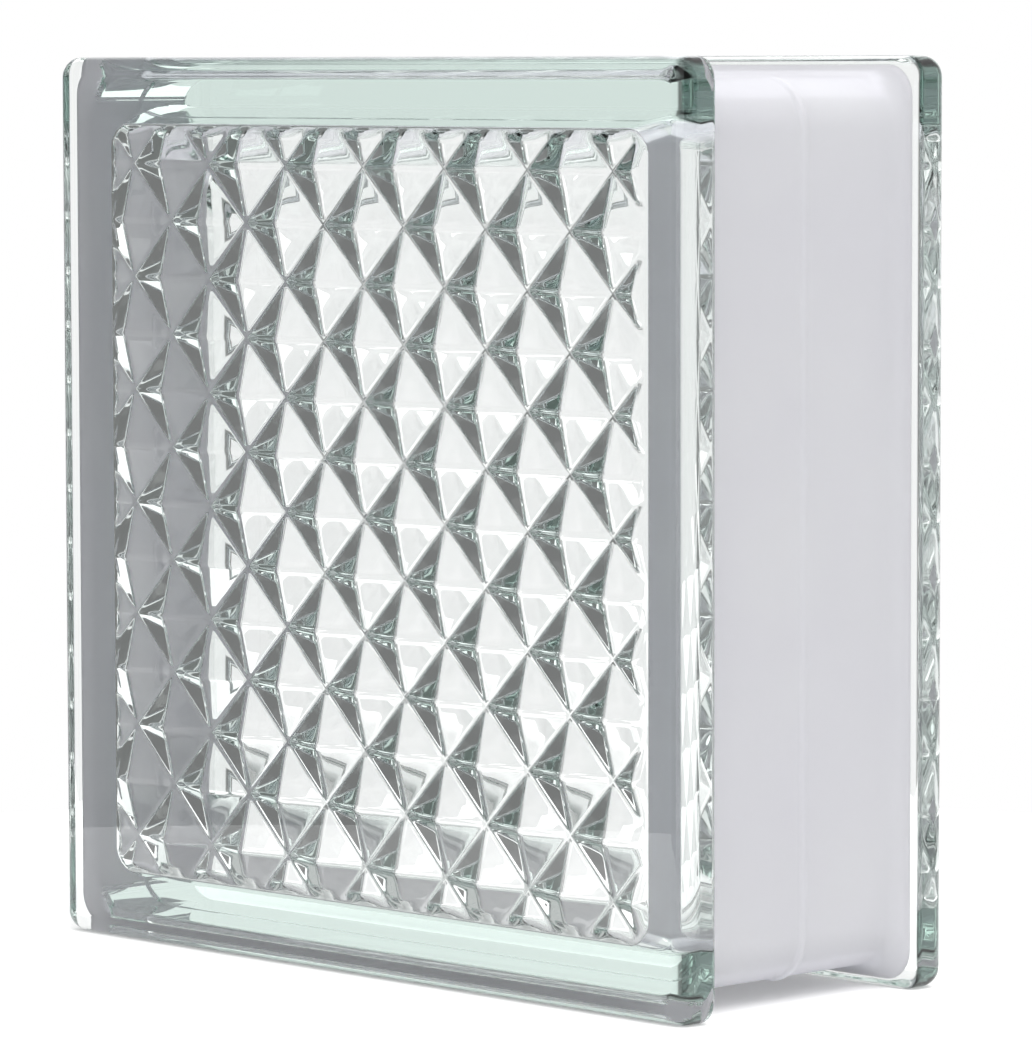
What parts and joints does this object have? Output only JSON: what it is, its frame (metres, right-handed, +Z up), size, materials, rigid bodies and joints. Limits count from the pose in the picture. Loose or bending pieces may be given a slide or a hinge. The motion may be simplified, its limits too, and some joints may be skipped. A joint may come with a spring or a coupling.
{
  "type": "glass block",
  "caption": "Hollow square glass building block with a diamond pit relief inside its faces and a white-coated mortar channel round its edge.",
  "frame": {"origin": "under the centre of the block, on the plane of the lips' bottom edges that it stands on", "axes": "+X along the width of the face, +Y through the depth from the front face to the rear face, +Z up"},
  "size_m": [0.1968, 0.0794, 0.1969],
  "materials": {
    "glass": "pressed soda-lime glass, clear with a pale green tint seen through its thickness",
    "edge_coating": "thin lavender-white sprayed edge coating, satin over smooth glass"
  },
  "bodies": {
    "root": {"front_half": "glass", "rear_half": "glass", "edge_coating": "edge_coating"}
  },
  "joints": []
}
